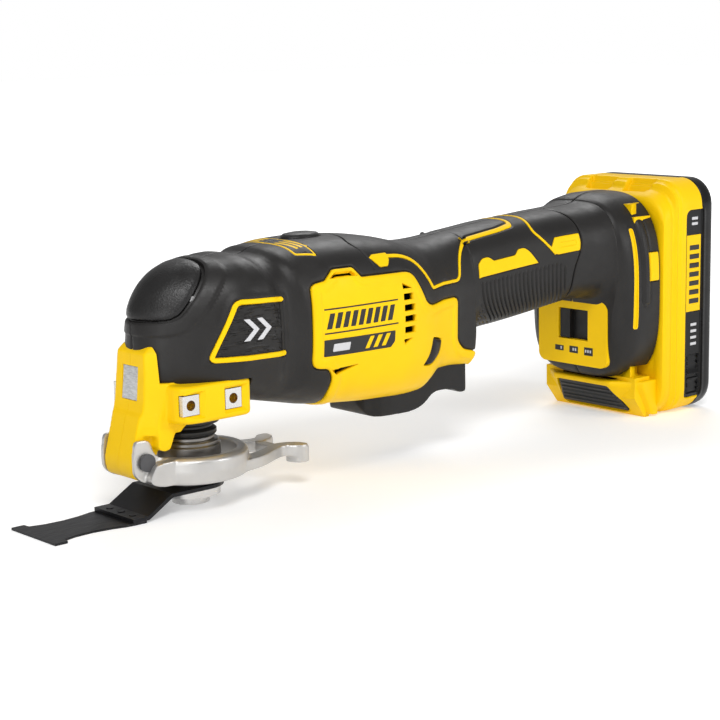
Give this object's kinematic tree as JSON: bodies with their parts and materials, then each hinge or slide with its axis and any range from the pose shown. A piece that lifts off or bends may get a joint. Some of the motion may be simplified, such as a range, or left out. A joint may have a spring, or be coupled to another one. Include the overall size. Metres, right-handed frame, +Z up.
{
  "type": "oscillating multi tool",
  "caption": "Cordless oscillating multi tool with quick-change lever clamp, flush-cut T-blade, lit nose guard, trigger paddle, speed slider and slide-on battery pack.",
  "frame": {"origin": "on the floor under the middle of the tool's overall box", "axes": "+X from the blade towards the battery pack along the tool, +Z up along the spindle's axis, +Y to the right-hand side seen from the battery end"},
  "size_m": [0.3722, 0.074, 0.1155],
  "materials": {
    "yellow_shell": "fine moulded texture",
    "black_overmold": "soft matt elastomer",
    "screw_steel": "black oxide",
    "bright_steel": "bright",
    "led_lens": "clear",
    "circuit_board": "solder mask",
    "palm_rubber": "grained rubber",
    "cast_aluminium": "die cast",
    "bearing_steel": "ground",
    "dark_steel": "phosphated",
    "magnet_steel": "nickel plated",
    "laminated_steel": "stacked sheet",
    "copper": "enamelled wire",
    "black_plastic": "moulded",
    "spring_steel": "drawn wire",
    "brushed_steel": "turned",
    "boot_rubber": "matt",
    "cast_silver": "bead-blasted casting",
    "tool_steel": "dark heat-treated steel",
    "trigger_plastic": "satin",
    "black_case": "semi-gloss",
    "cell_wrap": "heat-shrink wrap over steel cans",
    "lead_sleeve": "insulation",
    "latch_plastic": "satin"
  },
  "bodies": {
    "tool_body": {"accessory_nuts": "bright_steel", "clamp_sleeve": "brushed_steel", "control_board": "circuit_board", "dust_boot": "boot_rubber", "gear_case": "cast_aluminium", "housing_left": "yellow_shell", "housing_right": "yellow_shell", "housing_screws": "screw_steel", "led_board": "circuit_board", "led_lens": "led_lens", "lever_pin": "dark_steel", "motor_bearing_front": "bearing_steel", "motor_bearing_rear": "bearing_steel", "motor_rear_mount": "black_plastic", "motor_stator": "laminated_steel", "motor_windings": "copper", "nose_guard_left": "yellow_shell", "nose_guard_right": "yellow_shell", "overmold_left": "black_overmold", "overmold_right": "black_overmold", "palm_pad": "palm_rubber", "power_leads": "lead_sleeve", "speed_panel": "yellow_shell", "spindle_bearing_lower": "bearing_steel", "spindle_bearing_upper": "bearing_steel", "terminal_block": "black_plastic", "top_badge": "palm_rubber", "trigger_pin": "bright_steel", "trigger_switch": "black_plastic"},
    "spindle": {"spindle": "dark_steel", "oscillating_fork": "dark_steel", "cutting_blade": "tool_steel", "blade_carrier": "tool_steel", "blade_spot_welds": "tool_steel"},
    "clamp": {"clamp_flange": "bright_steel", "clamp_spring": "spring_steel"},
    "lever": {"quick_change_lever": "cast_silver"},
    "rotor": {"motor_rotor": "magnet_steel", "motor_shaft": "bright_steel", "eccentric_bearing": "bearing_steel", "cooling_fan": "black_plastic"},
    "trigger": {"trigger_paddle": "trigger_plastic"},
    "plunger": {"switch_plunger": "trigger_plastic"},
    "lock_button": {"lock_button": "trigger_plastic"},
    "selector": {"speed_selector": "trigger_plastic"},
    "battery_pack": {"battery_upper_case": "yellow_shell", "battery_lower_case": "black_case", "battery_screws": "screw_steel", "battery_cells": "cell_wrap", "cell_holder": "black_plastic", "battery_board": "circuit_board", "battery_contacts": "copper"},
    "battery_release": {"battery_release": "latch_plastic"}
  },
  "joints": [
    {"name": "spindle_oscillation", "type": "hinge", "parent": "tool_body", "child": "spindle", "pos_m": [-0.1109, 0, 0.04], "axis": [0, 0, 1], "range_deg": [-1.6, 1.6]},
    {"name": "clamp_travel", "type": "slide", "parent": "spindle", "child": "clamp", "axis": [0, 0, -1], "range_m": [0, 0.004], "deforming": ["clamp_spring"]},
    {"name": "clamp_lever", "type": "hinge", "parent": "tool_body", "child": "lever", "pos_m": [-0.1404, 0, 0.0238], "axis": [0, -1, 0], "range_deg": [0, 10], "stiffness_Nm_per_rad": 1.2, "springref_deg": -14.32},
    {"name": "rotor_spin", "type": "hinge", "parent": "tool_body", "child": "rotor", "pos_m": [-0.0509, 0, 0.07], "axis": [1, 0, 0], "continuous": true},
    {"name": "trigger_press", "type": "hinge", "parent": "tool_body", "child": "trigger", "pos_m": [-0.0419, 0, 0.041], "axis": [0, -1, 0], "range_deg": [0, 4], "stiffness_Nm_per_rad": 0.6, "springref_deg": -17.19},
    {"name": "plunger_travel", "type": "slide", "parent": "tool_body", "child": "plunger", "axis": [0, 0, 1], "range_m": [0, 0.004]},
    {"name": "lock_button_slide", "type": "slide", "parent": "tool_body", "child": "lock_button", "axis": [0, 1, 0], "range_m": [0, 0.003]},
    {"name": "speed_selector_slide", "type": "slide", "parent": "tool_body", "child": "selector", "axis": [0, -1, 0], "range_m": [0, 0.012]},
    {"name": "battery_slide", "type": "slide", "parent": "tool_body", "child": "battery_pack", "axis": [0, 0, -1], "range_m": [0, 0.07]},
    {"name": "battery_release_press", "type": "slide", "parent": "battery_pack", "child": "battery_release", "axis": [0.7901, 0, 0.613], "range_m": [0, 0.003], "stiffness_N_per_m": 500, "springref_m": -0.002}
  ],
  "couplings": [
    {"joint": "clamp_travel", "follows": "clamp_lever", "m_per_rad": 0.022632},
    {"joint": "plunger_travel", "follows": "trigger_press", "m_per_rad": 0.056007}
  ]
}
